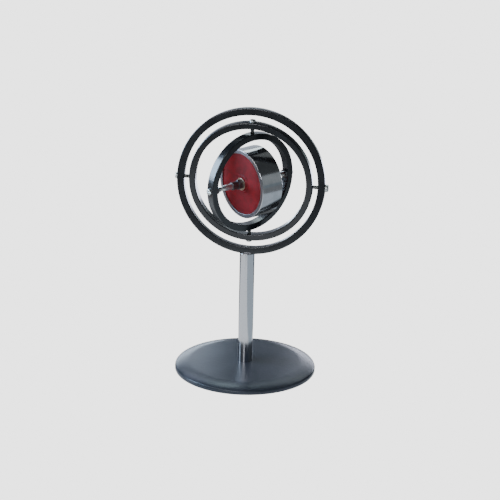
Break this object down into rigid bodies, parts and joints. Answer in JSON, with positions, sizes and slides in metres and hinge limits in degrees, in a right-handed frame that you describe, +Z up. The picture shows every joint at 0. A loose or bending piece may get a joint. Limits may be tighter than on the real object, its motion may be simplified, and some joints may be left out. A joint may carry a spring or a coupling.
{
  "type": "demonstration gyroscope",
  "caption": "Demonstration gyroscope: a heavy rotor in nested gimbal rings on cone-point pivots, carried by a polished rod on a round domed base.",
  "frame": {"origin": "centre of the base's flat underside, on the stand rod's axis", "axes": "+Z up along the stand rod, +X towards the outer ring's right pivot as the picture shows it, -Y towards the viewer"},
  "size_m": [0.1556, 0.146, 0.275],
  "materials": {
    "base_paint": "glossy slate blue-grey stoving paint",
    "ring_paint": "glossy near-black paint",
    "polished_rod": "polished chrome plate",
    "polished_rim": "mirror-polished steel band",
    "rotor_red": "deep red satin paint over cast metal",
    "plated_screws": "bright zinc plate",
    "axle_steel": "ground steel",
    "hub_washers": "turned brass, dull",
    "dark_nuts": "blackened steel, satin"
  },
  "bodies": {
    "stand": {"base": "base_paint", "stand_rod": "polished_rod", "outer_ring": "ring_paint", "ring_screw": "plated_screws", "outer_pivot_screw_left": "plated_screws", "outer_pivot_screw_right": "plated_screws"},
    "middle_gimbal": {"middle_ring": "ring_paint", "middle_pivot_screw_top": "plated_screws", "middle_pivot_screw_bottom": "plated_screws"},
    "inner_gimbal": {"inner_ring": "ring_paint", "axle_pivot_screw_front": "plated_screws", "axle_pivot_screw_back": "plated_screws", "axle_lock_nut_front": "dark_nuts", "axle_lock_nut_back": "dark_nuts"},
    "rotor": {"axle": "axle_steel", "rotor_core": "rotor_red", "rotor_rim": "polished_rim", "hub_washer_front": "hub_washers", "hub_washer_back": "hub_washers", "hub_nut_front": "dark_nuts", "hub_nut_back": "dark_nuts"}
  },
  "joints": [
    {"name": "middle_ring_turn", "type": "hinge", "parent": "stand", "child": "middle_gimbal", "pos_m": [0.00216, 0, 0.19997], "axis": [0.9996, 0, -0.0288], "continuous": true},
    {"name": "inner_ring_turn", "type": "hinge", "parent": "middle_gimbal", "child": "inner_gimbal", "pos_m": [0.00216, 0, 0.19997], "axis": [0.0286, -0.1115, 0.9934], "continuous": true},
    {"name": "rotor_spin", "type": "hinge", "parent": "inner_gimbal", "child": "rotor", "pos_m": [0.00216, 0, 0.19997], "axis": [0.6712, 0.7385, 0.0635], "continuous": true}
  ]
}
